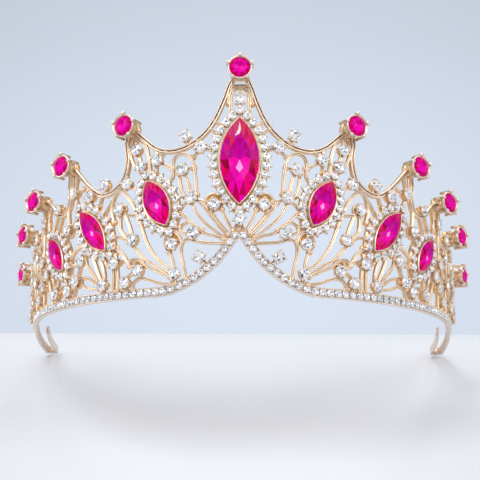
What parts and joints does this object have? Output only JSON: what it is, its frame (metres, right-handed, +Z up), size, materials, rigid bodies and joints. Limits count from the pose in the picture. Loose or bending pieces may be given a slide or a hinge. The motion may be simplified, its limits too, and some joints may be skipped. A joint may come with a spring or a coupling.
{
  "type": "crown",
  "caption": "Open-backed filigree tiara with scalloped pointed front, marquise and round rose stones, clear stone trim and turned-in strip ends.",
  "frame": {"origin": "underside of the rail, at the middle of the crown's width and depth", "axes": "+Z up, -Y towards the crown's front, +X to the viewer's right seen from the front"},
  "size_m": [0.1578, 0.1376, 0.0713],
  "materials": {
    "gilt": "polished pale gold plating",
    "rail_metal": "polished pale gold plating",
    "rose_stone": "faceted, foil backed",
    "clear_stone": "faceted, foil backed"
  },
  "bodies": {
    "root": {"centre_clear_cups": "gilt", "centre_clear_stones": "clear_stone", "centre_marquise_collar": "gilt", "centre_marquise_halo": "gilt", "centre_marquise_halo_stones": "clear_stone", "centre_marquise_stone": "rose_stone", "centre_panel": "gilt", "centre_point_cup": "gilt", "centre_point_stone": "rose_stone", "left_clear_cups": "gilt", "left_clear_stones": "clear_stone", "left_marquise_1_collar": "gilt", "left_marquise_1_halo": "gilt", "left_marquise_1_halo_stones": "clear_stone", "left_marquise_1_stone": "rose_stone", "left_marquise_2_collar": "gilt", "left_marquise_2_halo": "gilt", "left_marquise_2_halo_stones": "clear_stone", "left_marquise_2_stone": "rose_stone", "left_marquise_3_collar": "gilt", "left_marquise_3_halo": "gilt", "left_marquise_3_halo_stones": "clear_stone", "left_marquise_3_stone": "rose_stone", "left_panel_1": "gilt", "left_panel_2": "gilt", "left_panel_3": "gilt", "left_panel_4": "gilt", "left_panel_5": "gilt", "left_point_cups": "gilt", "left_point_stones": "rose_stone", "left_rail": "rail_metal", "left_rail_cups": "gilt", "left_rail_stones": "clear_stone", "right_clear_cups": "gilt", "right_clear_stones": "clear_stone", "right_marquise_1_collar": "gilt", "right_marquise_1_halo": "gilt", "right_marquise_1_halo_stones": "clear_stone", "right_marquise_1_stone": "rose_stone", "right_marquise_2_collar": "gilt", "right_marquise_2_halo": "gilt", "right_marquise_2_halo_stones": "clear_stone", "right_marquise_2_stone": "rose_stone", "right_marquise_3_collar": "gilt", "right_marquise_3_halo": "gilt", "right_marquise_3_halo_stones": "clear_stone", "right_marquise_3_stone": "rose_stone", "right_panel_1": "gilt", "right_panel_2": "gilt", "right_panel_3": "gilt", "right_panel_4": "gilt", "right_panel_5": "gilt", "right_point_cups": "gilt", "right_point_stones": "rose_stone", "right_rail": "rail_metal", "right_rail_cups": "gilt", "right_rail_stones": "clear_stone"}
  },
  "joints": []
}
